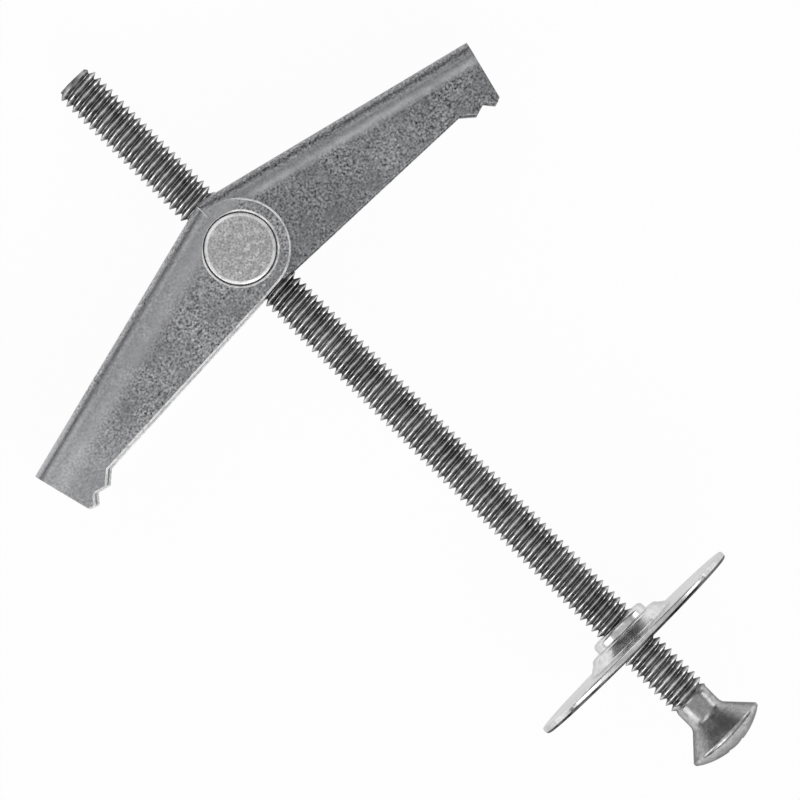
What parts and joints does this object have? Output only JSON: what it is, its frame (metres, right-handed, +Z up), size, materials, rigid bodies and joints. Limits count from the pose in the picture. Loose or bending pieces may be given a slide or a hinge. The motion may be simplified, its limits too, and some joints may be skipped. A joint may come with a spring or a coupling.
{
  "type": "spring toggle bolt",
  "caption": "Spring toggle bolt: a countersunk machine screw with a cupped washer, and a nut whose sprung wings fold back to pass a drilled hole and open behind the wall.",
  "frame": {"origin": "centre of the bolt's outline at the height of the surface it lies on", "axes": "+Y along the screw towards its tip, which points down by about 5.6 degrees as the bolt lies; +X across the wings, with the inner wing on that side; +Z up"},
  "size_m": [0.053, 0.0813, 0.0218],
  "materials": {
    "screw_steel": "bright zinc plated",
    "washer_steel": "bright zinc plated, pressed",
    "nut_steel": "zinc plated, turned",
    "wing_steel": "zinc plated sheet, stamped and tumbled",
    "spring_steel": "drawn spring wire"
  },
  "bodies": {
    "screw": {"screw": "screw_steel"},
    "washer": {"washer": "washer_steel"},
    "nut": {"trunnion_nut": "nut_steel", "torsion_spring": "spring_steel"},
    "outer_wing": {"outer_wing": "wing_steel"},
    "inner_wing": {"inner_wing": "wing_steel"}
  },
  "joints": [
    {"name": "washer_slide", "type": "slide", "parent": "screw", "child": "washer", "axis": [0, 0.9953, -0.0972], "range_m": [-0.0108, 0.0062]},
    {"name": "nut_travel", "type": "slide", "parent": "screw", "child": "nut", "axis": [0, 0.9953, -0.0972], "range_m": [-0.0133, 0.0165]},
    {"name": "outer_wing_fold", "type": "hinge", "parent": "nut", "child": "outer_wing", "pos_m": [0, 0.01988, 0.00624], "axis": [-0.0246, 0.0972, 0.995], "range_deg": [0, 76], "stiffness_Nm_per_rad": 0.01, "springref_deg": -34.38, "deforming": ["torsion_spring"]},
    {"name": "inner_wing_fold", "type": "hinge", "parent": "nut", "child": "inner_wing", "pos_m": [0, 0.01988, 0.00624], "axis": [0.0246, -0.0972, -0.995], "range_deg": [0, 76], "stiffness_Nm_per_rad": 0.01, "springref_deg": -34.38, "deforming": ["torsion_spring"]}
  ]
}
